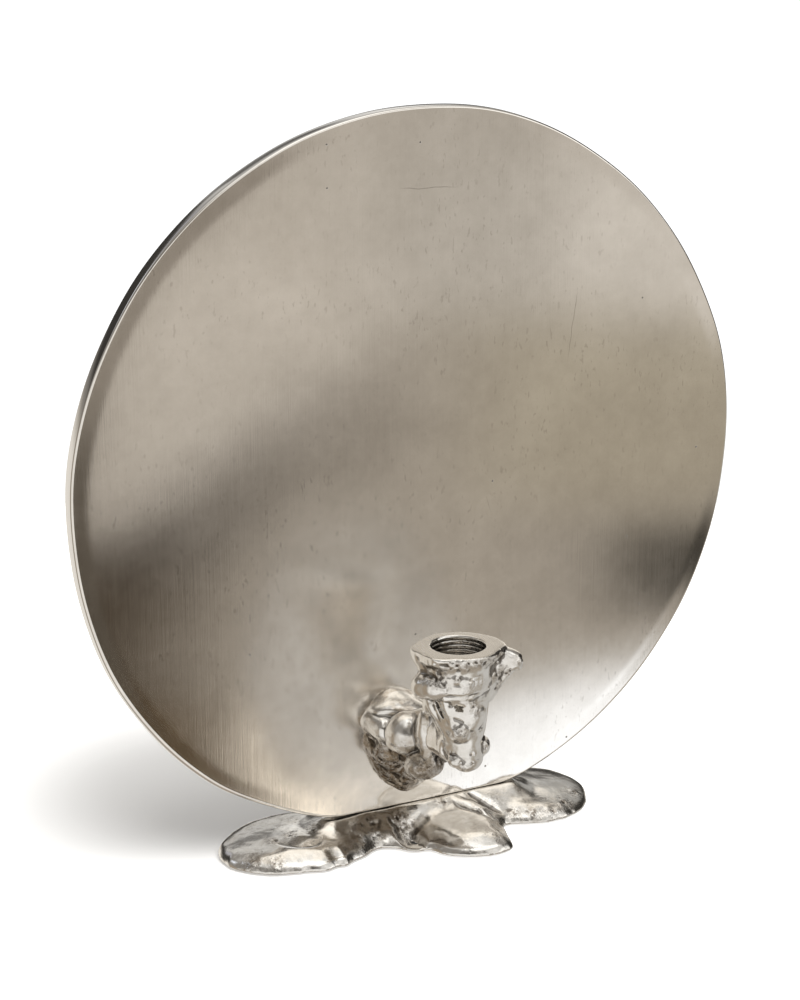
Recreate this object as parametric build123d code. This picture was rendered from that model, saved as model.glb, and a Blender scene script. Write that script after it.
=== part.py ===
from build123d import *
import os

# Free-standing candle plate: an upright round reflector plate on a lobed cast
# foot, with a cast arm and candle cup on its front face.
# Frame: +Z up, front is -Y, table at z = 0, origin at the middle of the
# footprint box. Lengths in millimetres.

# ---------------------------------------------------------------- dimensions
FACE_Y = 13.0            # y of the plate's front face
PLATE_R = 155.0          # plate radius
PLATE_T = 7.5            # plate thickness
EDGE_R = 1.0             # rounding of the plate's rim, front and back
SEAT_Z = 13.0            # height of the plate's straight bottom edge
CHORD_DROP = 148.65      # plate centre above its straight bottom edge
CORNER_R = 45.0          # rounding between the round rim and the straight edge
CENTRE_Z = SEAT_Z + CHORD_DROP

FELT_T = 2.0             # felt thickness
FELT_PROUD = 1.0         # felt standing below the casting
FELT_INSET = 6.0         # bare margin between felt and foot outline
FELT_GAP = 0.3           # play around the felt in its recess
FLANGE_T = 2.6           # thin lip around the foot

ARM_X = -11.0            # arm and cup stand this far left of the plate's axis
ARM_Z = 46.0             # rosette centre above the table
SEAM_OUT = 38.0          # arm-to-cup joint face, in front of the plate
CUP_X = -10.7            # candle axis
CUP_OUT = 51.5           # candle axis in front of the plate's face
CUP_TOP_Z = 105.0        # flat top of the cup
BORE_R = 11.2            # candle hole radius
BORE_DEPTH = 25.0        # candle hole depth

ARM_SCREW_R = 3.0        # M6 countersunk screw
ARM_SCREW_HEAD_R = 5.9
ARM_SCREW_REACH = 14.0   # thread length inside the arm
STUD_R = 3.0             # M6 stud between arm and cup
STUD_Z = 61.0
STUD_HALF = 10.0         # stud length each side of the seam
DOWEL_R = 1.5            # 3 mm pin
DOWEL_RISE = 12.0        # pin above the arm screw
FOOT_SCREW_R = 2.0       # M4 cap screw
FOOT_SCREW_X = 26.0      # half the distance between the two foot screws
FOOT_SCREW_HEAD_R = 3.5
FOOT_SCREW_HEAD_H = 4.0
FOOT_SCREW_REACH = 10.0  # thread length inside the plate
THREAD_GAP = 0.05        # play of a plain cylinder that stands for a thread

# Foot outline, measured from x = 0 and from the plate's front face.
FOOT_OUTLINE = [
    (-92.5, 12.0), (-92.5, 1.0), (-86.0, -10.0), (-72.0, -18.5), (-58.0, -21.8),
    (-44.0, -21.0), (-33.0, -16.5), (-25.0, -14.5), (-17.0, -18.5), (-9.5, -25.0),
    (-2.0, -34.0), (8.0, -40.3), (17.0, -41.5), (24.5, -37.0), (28.0, -27.0),
    (31.5, -18.5), (40.0, -18.8), (54.0, -23.0), (66.0, -21.0), (77.0, -13.0),
    (83.5, 0.0), (83.0, 12.5), (77.0, 25.0), (66.0, 32.5), (52.0, 34.0),
    (40.0, 31.5), (28.0, 35.0), (15.0, 41.5), (0.0, 43.5), (-14.0, 41.0),
    (-25.0, 34.5), (-36.0, 31.0), (-48.0, 32.5), (-60.0, 33.8), (-74.0, 30.5),
    (-85.5, 22.5),
]


# -------------------------------------------------------------------- helpers
def y_of(out):
    """y of a point this far in front of the plate's face."""
    return FACE_Y - out


def lump(x, out, z, ax, ay, az, rx=0, ry=0, rz=0):
    """Ellipsoid with half-axes ax, ay, az, centred in front of the plate."""
    ball = scale(Sphere(10), by=(ax / 10, ay / 10, az / 10))
    return Pos(x, y_of(out), z) * Rot(rx, ry, rz) * ball


def rod_y(r, x, z, out_back, out_front):
    """Cylinder along Y between two distances in front of the plate's face."""
    length = out_front - out_back
    mid = (out_front + out_back) / 2
    return Pos(x, y_of(mid), z) * Rot(90, 0, 0) * Cylinder(r, length)


def rod_z(r, x, y, z0, z1):
    """Upright cylinder from z0 to z1."""
    return Pos(x, y, (z0 + z1) / 2) * Cylinder(r, z1 - z0)


def inset_face(wire, distance, count=48):
    """Face inside a closed counter-clockwise curve, this far from it."""
    pts = []
    for i in range(count):
        p, d = wire @ (i / count), wire % (i / count)
        pts.append((p.X - d.Y * distance, p.Y + d.X * distance))
    return make_face(Spline(*pts, periodic=True))


def half_space_box(x0, x1, y0, y1, z0, z1):
    return Pos((x0 + x1) / 2, (y0 + y1) / 2, (z0 + z1) / 2) * Box(
        x1 - x0, y1 - y0, z1 - z0)


# ------------------------------------------------------------ reflector plate
face_plane = Plane.XZ.offset(-FACE_Y)
disc = Pos(0, CENTRE_Z) * Circle(PLATE_R)
below = Pos(0, SEAT_Z - 100) * Rectangle(4 * PLATE_R, 200)
outline = disc - below
corners = outline.vertices().filter_by(lambda v: abs(v.Y - SEAT_Z) < 0.01)
corners = [v for v in corners if abs(abs(v.X)) > 20]
outline = fillet(corners, CORNER_R)
plate = extrude(face_plane * outline, amount=-PLATE_T)
front_face = plate.faces().sort_by(Axis.Y)[0]
back_face = plate.faces().sort_by(Axis.Y)[-1]
plate = fillet(list(front_face.edges()) + list(back_face.edges()), EDGE_R)

# countersunk hole from the back, dowel hole from the front
cone_h = ARM_SCREW_HEAD_R - ARM_SCREW_R
back_out = -PLATE_T
head_top_out = back_out + 0.2
cone_tip_out = head_top_out + cone_h
head_cone = Pos(ARM_X, y_of((head_top_out + cone_tip_out) / 2), ARM_Z) * Rot(
    90, 0, 0) * Cone(ARM_SCREW_HEAD_R, ARM_SCREW_R, cone_h)
plate -= rod_y(ARM_SCREW_R + 0.3, ARM_X, ARM_Z, back_out - 1, 1)
plate -= head_cone
plate -= rod_y(ARM_SCREW_HEAD_R, ARM_X, ARM_Z, back_out - 1, head_top_out)
plate -= rod_y(DOWEL_R + 0.02, ARM_X, ARM_Z + DOWEL_RISE, -4.5, 1)

# two tapped holes in the straight bottom edge
mid_y = FACE_Y + PLATE_T / 2
for sx in (-1, 1):
    plate -= rod_z(FOOT_SCREW_R + THREAD_GAP, sx * FOOT_SCREW_X, mid_y,
                   SEAT_Z - 1, SEAT_Z + FOOT_SCREW_REACH + 2)

# ---------------------------------------------------------------- cast foot
foot_pts = [(x, FACE_Y + y) for x, y in FOOT_OUTLINE]
foot_wire = Spline(*foot_pts, periodic=True)
foot_face = make_face(foot_wire)
flange = Pos(0, 0, FELT_PROUD) * extrude(foot_face, amount=FLANGE_T)
column = Pos(0, 0, FELT_PROUD) * extrude(foot_face, amount=60)
domes = lump(-51, -6, 0, 39, 25.5, 11.5, rz=-4)
domes += lump(48, -5, 0, 35, 26, 10.5, rz=6)
domes += lump(9, 13, 0, 17, 27.5, 11.5, rz=14)
domes += lump(0, -19, 0, 25, 24, 10.8)
seat_top = Pos(0, mid_y) * SlotOverall(100, 11)
ridge = Pos(0, 0, SEAT_Z) * extrude(seat_top, amount=-(SEAT_Z - FELT_PROUD), taper=-38)
foot = flange + ((domes + ridge) & column)
foot -= half_space_box(-200, 200, -200, 200, SEAT_Z, SEAT_Z + 60)
foot -= half_space_box(-200, 200, -200, 200, -60, FELT_PROUD)

recess_face = inset_face(foot_wire, FELT_INSET)
felt_face = inset_face(foot_wire, FELT_INSET + FELT_GAP)
foot -= Pos(0, 0, FELT_PROUD - 1) * extrude(recess_face, amount=1 + FELT_T - FELT_PROUD)
head_z0 = FELT_T + 0.4
head_z1 = head_z0 + FOOT_SCREW_HEAD_H
for sx in (-1, 1):
    foot -= rod_z(FOOT_SCREW_R + 0.25, sx * FOOT_SCREW_X, mid_y, 0, SEAT_Z + 1)
    foot -= rod_z(FOOT_SCREW_HEAD_R + 0.4, sx * FOOT_SCREW_X, mid_y, 0, head_z1)

felt = extrude(felt_face, amount=FELT_T)

# ------------------------------------------------------------------ cast arm
arm = lump(ARM_X, 0, ARM_Z, 20, 24, 22)
arm += lump(-19.5, 21, 56.5, 10, 11, 11.5)
arm += lump(-14.5, 30, 47, 9, 9, 8)
arm += lump(-11.5, 28, STUD_Z, 10.5, 16, 10)
arm -= half_space_box(-100, 100, FACE_Y, FACE_Y + 60, -50, 200)
arm -= half_space_box(-100, 100, FACE_Y - 100, y_of(SEAM_OUT), -50, 200)
arm -= rod_y(ARM_SCREW_R + THREAD_GAP, ARM_X, ARM_Z, -1, ARM_SCREW_REACH + 2)
arm -= rod_y(DOWEL_R + 0.02, ARM_X, ARM_Z + DOWEL_RISE, -1, 6.5)
arm -= rod_y(STUD_R + THREAD_GAP, ARM_X, STUD_Z, SEAM_OUT - STUD_HALF - 1, SEAM_OUT + 1)

# ---------------------------------------------------------------- candle cup
cup_y = y_of(CUP_OUT)
profile = [
    (0, 51.0), (5.5, 52.5), (9.0, 56.5), (10.3, 62.0), (11.8, 70.0),
    (14.0, 79.0), (15.6, 86.0), (16.8, 93.0), (18.0, 100.0), (17.6, CUP_TOP_Z),
]
side = Spline(*[(r, z) for r, z in profile])
rim = Line(profile[-1], (0, CUP_TOP_Z))
axis_line = Line((0, CUP_TOP_Z), profile[0])
section = make_face(Wire([side, rim, axis_line]))
cup = Pos(CUP_X, cup_y, 0) * revolve(Plane.XZ * section, axis=Axis.Z)
slab_pts = [(-30.0, 45.5), (-28.8, 53.0), (-28.5, 61.0), (-19.0, 65.6), (-8.6, 69.8),
            (-0.5, 66.0), (9.5, 56.5), (9.5, 50.0), (0.5, 41.0), (-11.0, 37.6), (-21.0, 39.4)]
slab_face = make_face(Polyline(*[(x, y_of(o)) for x, o in slab_pts], close=True))
slab_face = fillet(slab_face.vertices(), 3.0)
slab = Pos(0, 0, CUP_TOP_Z) * extrude(slab_face, amount=-7, taper=14)
cup += slab
cup += lump(-24.0, 51.0, 87.5, 5.8, 5.8, 6.0)
cup += lump(-15.0, 63.5, 87.0, 6.0, 4.0, 5.0)
cup += lump(6.0, 61.0, 95.5, 7.0, 6.0, 7.0)
cup += lump(10.5, 62.0, 98.5, 3.0, 3.0, 4.0)
cup += lump(0.5, 53.0, 57.0, 4.2, 4.6, 4.2)
cup += rod_y(8.5, ARM_X, STUD_Z, SEAM_OUT, CUP_OUT)
cup -= half_space_box(-100, 100, -100, 100, CUP_TOP_Z, CUP_TOP_Z + 50)
cup -= rod_z(BORE_R, CUP_X, cup_y, CUP_TOP_Z - BORE_DEPTH, CUP_TOP_Z + 5)
cup -= rod_y(STUD_R + THREAD_GAP, ARM_X, STUD_Z, SEAM_OUT - 1, SEAM_OUT + STUD_HALF + 1)

# ---------------------------------------------------------------- fasteners
stud = rod_y(STUD_R, ARM_X, STUD_Z, SEAM_OUT - STUD_HALF, SEAM_OUT + STUD_HALF)
stud = chamfer(stud.edges().filter_by(GeomType.CIRCLE), 0.5)

arm_screw = rod_y(ARM_SCREW_R, ARM_X, ARM_Z, cone_tip_out - 0.5, ARM_SCREW_REACH)
arm_screw = chamfer(arm_screw.edges().filter_by(GeomType.CIRCLE).sort_by(Axis.Y)[0], 0.5)
arm_screw += head_cone
hex_face = Plane.XZ.offset(-y_of(head_top_out)) * Pos(ARM_X, ARM_Z) * RegularPolygon(
    4.0 / 3 ** 0.5, 6)
arm_screw -= extrude(hex_face, amount=2.2)

dowel = rod_y(DOWEL_R, ARM_X, ARM_Z + DOWEL_RISE, -4.2, 6.2)
dowel = chamfer(dowel.edges().filter_by(GeomType.CIRCLE), 0.3)

foot_screw_list = []
for sx in (-1, 1):
    x = sx * FOOT_SCREW_X
    shank = rod_z(FOOT_SCREW_R, x, mid_y, head_z1 - 0.5, SEAT_Z + FOOT_SCREW_REACH)
    shank = chamfer(shank.edges().filter_by(GeomType.CIRCLE).sort_by(Axis.Z)[-1], 0.4)
    head = rod_z(FOOT_SCREW_HEAD_R, x, mid_y, head_z0, head_z1)
    head = fillet(head.edges().filter_by(GeomType.CIRCLE).sort_by(Axis.Z)[0], 0.4)
    socket = Pos(x, mid_y, head_z0) * extrude(RegularPolygon(3.0 / 3 ** 0.5, 6), amount=2.0)
    foot_screw_list.append((head + shank) - socket)
foot_screws = Compound(children=[s.solid() for s in foot_screw_list])

# ------------------------------------------------------------------- output
os.makedirs("parts", exist_ok=True)
for name, shape in (
    ("reflector_plate", plate),
    ("foot_casting", foot),
    ("felt_base", felt),
    ("candle_arm", arm),
    ("candle_cup", cup),
    ("cup_stud", stud),
    ("arm_screw", arm_screw),
    ("arm_dowel", dowel),
    ("foot_screws", foot_screws),
):
    export_step(shape, f"parts/{name}.step")
    box = shape.bounding_box()
    print(name, [round(v, 2) for v in (*box.min, *box.max)], round(shape.volume, 1))
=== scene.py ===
import math
import bpy
import numpy as np
import openvdb
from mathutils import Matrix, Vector


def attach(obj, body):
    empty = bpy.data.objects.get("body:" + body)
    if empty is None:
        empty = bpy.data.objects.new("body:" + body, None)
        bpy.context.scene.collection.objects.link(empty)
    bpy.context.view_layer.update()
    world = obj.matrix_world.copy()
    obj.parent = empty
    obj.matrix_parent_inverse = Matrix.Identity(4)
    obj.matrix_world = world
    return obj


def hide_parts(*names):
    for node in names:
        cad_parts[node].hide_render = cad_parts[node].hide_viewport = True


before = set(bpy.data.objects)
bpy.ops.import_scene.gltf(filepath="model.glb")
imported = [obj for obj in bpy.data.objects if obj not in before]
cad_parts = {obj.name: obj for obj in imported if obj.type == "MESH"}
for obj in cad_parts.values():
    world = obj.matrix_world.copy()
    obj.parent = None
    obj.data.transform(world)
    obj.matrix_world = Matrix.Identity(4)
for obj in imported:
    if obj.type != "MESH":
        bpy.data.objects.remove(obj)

# Lengths below are in millimetres, in the part's own frame, and become metres
# when a mesh is made. "out" is the distance in front of the plate's front face.
MM = 0.001
FACE_Y = 13.0
PLATE_R, PLATE_T = 155.0, 7.5
SEAT_Z, CENTRE_Z, CORNER_R = 13.0, 161.65, 45.0
SCREW_X, SCREW_Z = -11.0, 46.0
CUP_X, CUP_OUT, CUP_TOP, BORE_R, BORE_DEPTH = -10.7, 51.5, 105.0, 11.2, 25.0

FOOT_OUTLINE = [
    (-92.5, 12.0), (-92.3, 1.0), (-86.0, -10.0), (-73.5, -17.6), (-62.9, -20.4),
    (-54.6, -21.8), (-50.9, -20.8), (-47.2, -21.4), (-43.6, -19.4), (-37.7, -17.3), (-30.0, -13.8),
    (-25.3, -13.7), (-19.6, -18.0), (-16.2, -22.4), (-12.6, -23.8), (-9.6, -23.8), (-6.4, -29.0),
    (-1.3, -35.0), (8.5, -39.8), (18.6, -40.8), (24.0, -38.4), (26.2, -32.6), (28.9, -24.0),
    (32.4, -17.6), (40.0, -18.8), (54.0, -23.0), (66.0, -21.0), (77.0, -13.0),
    (83.5, 0.0), (83.0, 12.5), (77.0, 25.0), (66.0, 32.5), (52.0, 34.0),
    (40.0, 31.5), (28.0, 35.0), (15.0, 41.5), (0.0, 43.5), (-14.0, 41.0),
    (-25.0, 34.5), (-36.0, 31.0), (-48.0, 32.5), (-60.0, 33.8), (-74.0, 30.5),
    (-85.5, 22.5),
]
SLAB = [(-30.0, 45.5), (-28.8, 53.0), (-28.5, 61.0), (-19.0, 65.6), (-8.6, 69.8),
        (-0.5, 66.0), (9.5, 56.5), (9.5, 50.0), (0.5, 41.0), (-11.0, 37.6), (-21.0, 39.4)]


# ------------------------------------------------------------------ noise
def lattice(seed, n=32):
    return np.random.RandomState(seed).uniform(-1, 1, (n, n, n)).astype(np.float32)


def noise(x, y, z, size, seed):
    """Smooth value noise in [-1, 1] with cells of the given size."""
    t = lattice(seed)
    n = t.shape[0]
    out = []
    for c in (x, y, z):
        c = np.asarray(c, np.float32) / size + 1000.0
        i = np.floor(c).astype(np.int32)
        f = c - i
        out.append((i % n, (i + 1) % n, f * f * f * (f * (f * 6 - 15) + 10)))
    (x0, x1, fx), (y0, y1, fy), (z0, z1, fz) = out
    a = t[x0, y0, z0] * (1 - fx) + t[x1, y0, z0] * fx
    b = t[x0, y1, z0] * (1 - fx) + t[x1, y1, z0] * fx
    c = t[x0, y0, z1] * (1 - fx) + t[x1, y0, z1] * fx
    d = t[x0, y1, z1] * (1 - fx) + t[x1, y1, z1] * fx
    return (a * (1 - fy) + b * fy) * (1 - fz) + (c * (1 - fy) + d * fy) * fz


# ------------------------------------------------------- distance fields
def smin(a, b, k):
    h = np.clip(0.5 + 0.5 * (b - a) / k, 0, 1)
    return b * (1 - h) + a * h - k * h * (1 - h)


def smax(a, b, k):
    return -smin(-a, -b, k)


def smooth(a, b, x):
    t = np.clip((x - a) / (b - a), 0, 1)
    return t * t * (3 - 2 * t)


class Block:
    """A block of sample points and the distance fields drawn in it."""

    def __init__(self, lo, hi, step):
        self.lo, self.step = np.array(lo, np.float32), step
        ax = [np.arange(l, h + step, step, dtype=np.float32) for l, h in zip(lo, hi)]
        self.x, self.y, self.z = np.meshgrid(*ax, indexing="ij")

    def ball(self, c, r, turn=0.0, lean=0.0):
        """Ellipsoid: centre, half-axes, turned about Z and then leaning about Y."""
        x, y, z = self.x - c[0], self.y - (FACE_Y - c[1]), self.z - c[2]
        if turn:
            s, k = math.sin(math.radians(turn)), math.cos(math.radians(turn))
            x, y = k * x + s * y, k * y - s * x
        if lean:
            s, k = math.sin(math.radians(lean)), math.cos(math.radians(lean))
            x, z = k * x - s * z, k * z + s * x
        k0 = np.sqrt((x / r[0]) ** 2 + (y / r[1]) ** 2 + (z / r[2]) ** 2) + 1e-6
        k1 = np.sqrt((x / r[0] ** 2) ** 2 + (y / r[1] ** 2) ** 2 + (z / r[2] ** 2) ** 2) + 1e-6
        return k0 * (k0 - 1) / k1

    def rope(self, a, b, ra, rb):
        """Rounded cone between two points given as (x, out, z)."""
        a = np.array((a[0], FACE_Y - a[1], a[2]), np.float32)
        b = np.array((b[0], FACE_Y - b[1], b[2]), np.float32)
        d = b - a
        px, py, pz = self.x - a[0], self.y - a[1], self.z - a[2]
        t = np.clip((px * d[0] + py * d[1] + pz * d[2]) / float(d @ d), 0, 1)
        q = np.sqrt((px - t * d[0]) ** 2 + (py - t * d[1]) ** 2 + (pz - t * d[2]) ** 2)
        return q - (ra + (rb - ra) * t)

    def ropes(self, pts, r):
        f = None
        for a, b in zip(pts[:-1], pts[1:]):
            g = self.rope(a, b, r, r)
            f = g if f is None else np.minimum(f, g)
        return f

    def wrinkle(self, f, layers, band=2.0):
        """Adds noise layers (size, height, seed) to a field close to its surface."""
        m = np.abs(f) < band
        x, y, z = self.x[m], self.y[m], self.z[m]
        g = f[m]
        for size, height, seed in layers:
            g = g + height * noise(x, y, z, size, seed)
        f = f.copy()
        f[m] = g
        return f

    def grain(self, f, zones, height, size, seed):
        """Roughens a field in places given as (x, out, z, radius)."""
        m = np.abs(f) < 1.6
        x, y, z = self.x[m], self.y[m], self.z[m]
        g = np.zeros(x.shape, np.float32)
        for cx, out, cz, r in zones:
            q = (x - cx) ** 2 + (y - (FACE_Y - out)) ** 2 + (z - cz) ** 2
            g = np.maximum(g, np.exp(-q / (r * r)))
        f = f.copy()
        f[m] += height * g * noise(x, y, z, size, seed)
        return f

    def mesh(self, f):
        """Vertices in millimetres and quads of the surface where f is zero."""
        grid = openvdb.FloatGrid(10.0)
        grid.copyFromArray(np.ascontiguousarray(np.clip(f, -10, 10), dtype=np.float32))
        pts, quads = grid.convertToQuads(isovalue=0.0)
        v = np.array(pts, dtype=np.float64) * self.step + self.lo
        q = np.array(quads, dtype=np.int64)
        a, b, c = v[q[:, 0]], v[q[:, 1]], v[q[:, 2]]
        d = v[q[:, 3]]
        vol = np.einsum("ij,ij->i", a, np.cross(b, c)).sum() + np.einsum("ij,ij->i", a, np.cross(c, d)).sum()
        if vol < 0:
            q = q[:, ::-1]
        return v, q


def relax(v, q, rounds=2, amount=0.5):
    """Evens out the vertices a little along the surface's own neighbours."""
    n = len(v)
    e = np.concatenate([q[:, [0, 1]], q[:, [1, 2]], q[:, [2, 3]], q[:, [3, 0]]])
    e = np.concatenate([e, e[:, ::-1]])
    count = np.bincount(e[:, 0], minlength=n)[:, None]
    for i in range(rounds):
        for k in (amount, -amount * 1.03):
            s = np.stack([np.bincount(e[:, 0], weights=v[e[:, 1], c], minlength=n) for c in range(3)], 1)
            v = v + k * (s / np.maximum(count, 1) - v)
    return v


def mark_grain(ob, v, zones, g=0.0):
    """Stores how grainy the cast skin is at each vertex, from (x, out, z, radius) places."""
    g = np.zeros(len(v)) + g
    for x, out, z, r in zones:
        q = (v[:, 0] - x) ** 2 + (v[:, 1] - (FACE_Y - out)) ** 2 + (v[:, 2] - z) ** 2
        g = np.maximum(g, np.exp(-q / (r * r)))
    ob.data.attributes.new("grain", "FLOAT", "POINT").data.foreach_set("value", g.astype(np.float32))


def mark_hollow(ob, v, q, step):
    """Stores at each vertex how far it lies in a hollow: 0.5 is flat, 1 a deep crease."""
    n = len(v)
    e = np.concatenate([q[:, [0, 1]], q[:, [1, 2]], q[:, [2, 3]], q[:, [3, 0]]])
    e = np.concatenate([e, e[:, ::-1]])
    count = np.maximum(np.bincount(e[:, 0], minlength=n), 1)[:, None]
    fn = np.cross(v[q[:, 2]] - v[q[:, 0]], v[q[:, 3]] - v[q[:, 1]])
    nrm = np.stack([sum(np.bincount(q[:, k], weights=fn[:, c], minlength=n) for k in range(4)) for c in range(3)], 1)
    nrm /= np.linalg.norm(nrm, axis=1)[:, None] + 1e-12
    s, depth = v, []
    for i in range(1, 61):
        near = np.stack([np.bincount(e[:, 0], weights=s[e[:, 1], c], minlength=n) for c in range(3)], 1) / count
        s = 0.5 * s + 0.5 * near
        if i in (8, 60):
            depth.append(((s - v) * nrm).sum(1) / step)
    g = 0.6 * np.clip(depth[0] / 0.17, -1, 1) + 0.5 * np.clip(depth[1] / 0.75, -1, 1)
    g = 0.5 + 0.5 * np.clip(g, -1, 1)
    ob.data.attributes.new("hollow", "FLOAT", "POINT").data.foreach_set("value", g.astype(np.float32))


def make_object(name, v, faces, smooth_shade=True):
    me = bpy.data.meshes.new(name)
    me.from_pydata((np.asarray(v) * MM).tolist(), [], np.asarray(faces).tolist())
    me.validate()
    me.polygons.foreach_set("use_smooth", [smooth_shade] * len(me.polygons))
    me.update()
    ob = bpy.data.objects.new(name, me)
    bpy.context.scene.collection.objects.link(ob)
    return ob


# ------------------------------------------------------------ plan curves
def closed_spline(pts, count):
    """Points on a smooth closed curve through pts."""
    p = np.array(pts, float)
    n = len(p)
    h = np.linalg.norm(np.roll(p, -1, 0) - p, axis=1)
    a = np.zeros((n, n))
    rhs = np.zeros((n, 2))
    for i in range(n):
        hp, hn = h[i - 1], h[i]
        a[i, i - 1] += hp
        a[i, i] += 2 * (hp + hn)
        a[i, (i + 1) % n] += hn
        rhs[i] = 6 * ((p[(i + 1) % n] - p[i]) / hn - (p[i] - p[i - 1]) / hp)
    m = np.linalg.solve(a, rhs)
    s = np.concatenate([[0], np.cumsum(h)])
    out = []
    for u in np.linspace(0, s[-1], count, endpoint=False):
        i = min(np.searchsorted(s, u, side="right") - 1, n - 1)
        j = (i + 1) % n
        t, d = u - s[i], h[i]
        out.append(m[i] * (d - t) ** 3 / (6 * d) + m[j] * t ** 3 / (6 * d)
                   + (p[i] / d - m[i] * d / 6) * (d - t) + (p[j] / d - m[j] * d / 6) * t)
    return np.array(out)


def inside_distance(x, y, poly):
    """Distance to a closed polygon, positive inside."""
    a, b = poly, np.roll(poly, -1, 0)
    d = b - a
    dd = (d * d).sum(1)
    px, py = x.ravel(), y.ravel()
    out = np.empty(px.shape, np.float32)
    for s in range(0, len(px), 4000):
        qx, qy = px[s:s + 4000, None], py[s:s + 4000, None]
        t = np.clip(((qx - a[:, 0]) * d[:, 0] + (qy - a[:, 1]) * d[:, 1]) / dd, 0, 1)
        dist = np.sqrt(((qx - a[:, 0] - t * d[:, 0]) ** 2 + (qy - a[:, 1] - t * d[:, 1]) ** 2).min(1))
        up = (a[:, 1] <= qy) != (b[:, 1] <= qy)
        with np.errstate(divide="ignore", invalid="ignore"):
            xc = a[:, 0] + (qy - a[:, 1]) * d[:, 0] / d[:, 1]
        odd = (up & (qx < xc)).sum(1) % 2
        out[s:s + 4000] = np.where(odd == 1, dist, -dist)
    return out.reshape(x.shape)


# ---------------------------------------------------------- the round plate
def plate_outline(count):
    """Points (x, z) and outward normals, evenly spaced, counter-clockwise from the front."""
    off = math.sqrt((PLATE_R - CORNER_R) ** 2 - (CENTRE_Z - SEAT_Z - CORNER_R) ** 2)
    ang = math.atan2(-(CENTRE_Z - SEAT_Z - CORNER_R), off)
    pts, nrm = [], []

    def arc(cx, cz, r, a0, a1, n):
        for a in np.linspace(a0, a1, n, endpoint=False):
            pts.append((cx + r * math.cos(a), cz + r * math.sin(a)))
            nrm.append((math.cos(a), math.sin(a)))

    arc(0, CENTRE_Z, PLATE_R, ang, math.pi - ang, 6000)
    arc(-off, SEAT_Z + CORNER_R, CORNER_R, math.pi - ang, 1.5 * math.pi, 200)
    for x in np.linspace(-off, off, 600, endpoint=False):
        pts.append((x, SEAT_Z))
        nrm.append((0.0, -1.0))
    arc(off, SEAT_Z + CORNER_R, CORNER_R, 1.5 * math.pi, 2 * math.pi + ang, 200)
    pts, nrm = np.array(pts), np.array(nrm)
    step = np.linalg.norm(np.roll(pts, -1, 0) - pts, axis=1)
    s = np.concatenate([[0], np.cumsum(step)])
    u = np.linspace(0, s[-1], count, endpoint=False)
    ext = np.concatenate([pts, pts[:1]])
    nex = np.concatenate([nrm, nrm[:1]])
    p = np.stack([np.interp(u, s, ext[:, k]) for k in (0, 1)], 1)
    n = np.stack([np.interp(u, s, nex[:, k]) for k in (0, 1)], 1)
    return p, n / np.linalg.norm(n, axis=1)[:, None]


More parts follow.
